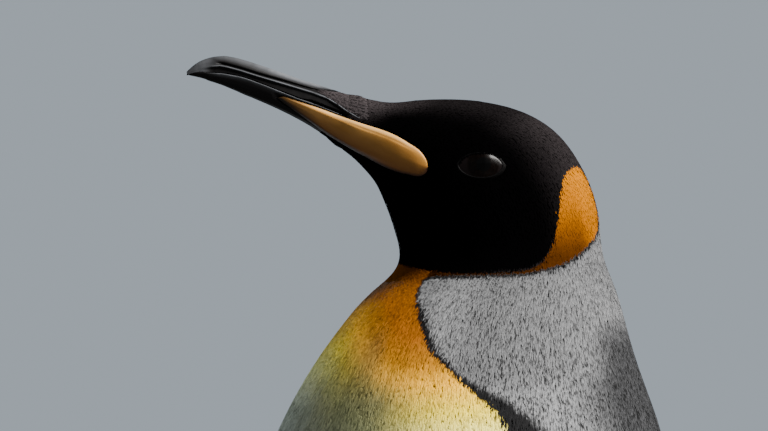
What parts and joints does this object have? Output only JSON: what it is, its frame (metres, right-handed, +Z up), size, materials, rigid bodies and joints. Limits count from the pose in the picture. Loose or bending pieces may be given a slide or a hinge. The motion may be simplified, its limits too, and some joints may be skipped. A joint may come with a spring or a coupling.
{
  "type": "king penguin",
  "caption": "Life-size still king penguin standing upright with its neck drawn in and its long bill raised, flippers hanging at its sides.",
  "frame": {"origin": "on the floor under the middle of the bird, at the bottom centre of its bounding box", "axes": "+Z up; the bird faces -Y, so +X is its left side and +Y points to its tail"},
  "size_m": [0.3072, 0.3176, 0.768],
  "materials": {
    "coat_white": "dense white feathers with a silky sheen",
    "coat_grey": "short silver-grey feathers tipped darker",
    "coat_black": "velvety black feathers, brownish on the crown",
    "coat_orange": "short orange to yellow feathers",
    "bill_black": "horn, satin, with long grooves",
    "bill_plate": "smooth waxy peach-orange horn",
    "eye": "wet, very dark brown",
    "flipper_slate": "scale-like slate feathers outside, white inside",
    "tail_black": "stiff black feathers",
    "foot_skin": "scaly dark grey skin",
    "claw_horn": "dark satin horn"
  },
  "bodies": {
    "root": {"trunk": "coat_white", "neck": "coat_grey", "head": "coat_black", "bill_upper": "bill_black", "bill_lower": "bill_black", "plate_left": "bill_plate", "plate_right": "bill_plate", "eye_left": "eye", "eye_right": "eye", "flipper_left": "flipper_slate", "flipper_right": "flipper_slate", "tail": "tail_black", "leg_left": "coat_white", "leg_right": "coat_white", "foot_left": "foot_skin", "foot_right": "foot_skin", "claw_left_inner": "claw_horn", "claw_left_middle": "claw_horn", "claw_left_outer": "claw_horn", "claw_right_inner": "claw_horn", "claw_right_middle": "claw_horn", "claw_right_outer": "claw_horn"}
  },
  "joints": []
}
